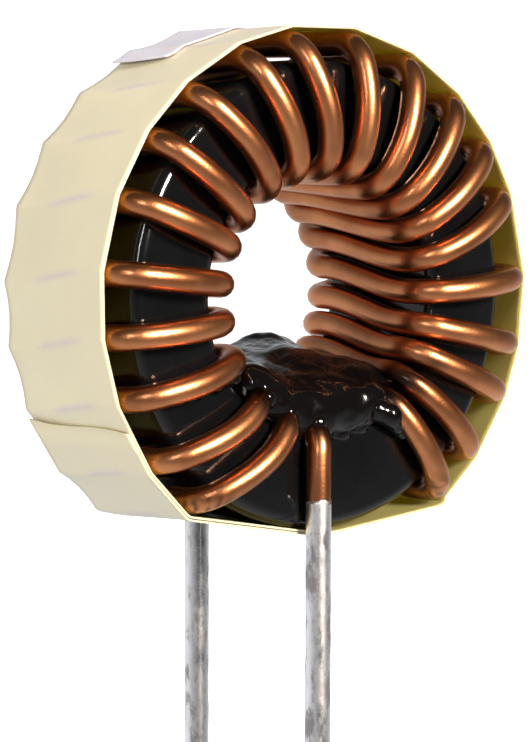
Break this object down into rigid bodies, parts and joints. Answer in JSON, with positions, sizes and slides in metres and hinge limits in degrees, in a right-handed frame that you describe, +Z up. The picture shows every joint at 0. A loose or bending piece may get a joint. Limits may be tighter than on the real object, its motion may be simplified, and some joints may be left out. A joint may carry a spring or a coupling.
{
  "type": "toroidal inductor",
  "caption": "Toroidal inductor: one enamelled wire wound round a coated powder ring, held by a film band, with straight tinned leads for a circuit board.",
  "frame": {"origin": "on the board, midway between the two leads", "axes": "+Z up from the board, +Y from the front face to the rear face along the ring's axis, +X to the right seen from the front; the leads point along -Z"},
  "size_m": [0.031, 0.014, 0.0454],
  "materials": {
    "core_coating": "black epoxy coat, glossy, on pressed metal powder",
    "enamelled_copper": "enamelled copper wire, clear glossy enamel",
    "solder": "dip-tinned wire, mottled bright solder",
    "film": "thin translucent cream film, satin",
    "label_film": "blank white film, satin",
    "epoxy": "black glossy epoxy, brown where it is thin"
  },
  "bodies": {
    "root": {"core": "core_coating", "winding": "enamelled_copper", "tape": "film", "label": "label_film", "adhesive": "epoxy"}
  },
  "joints": []
}
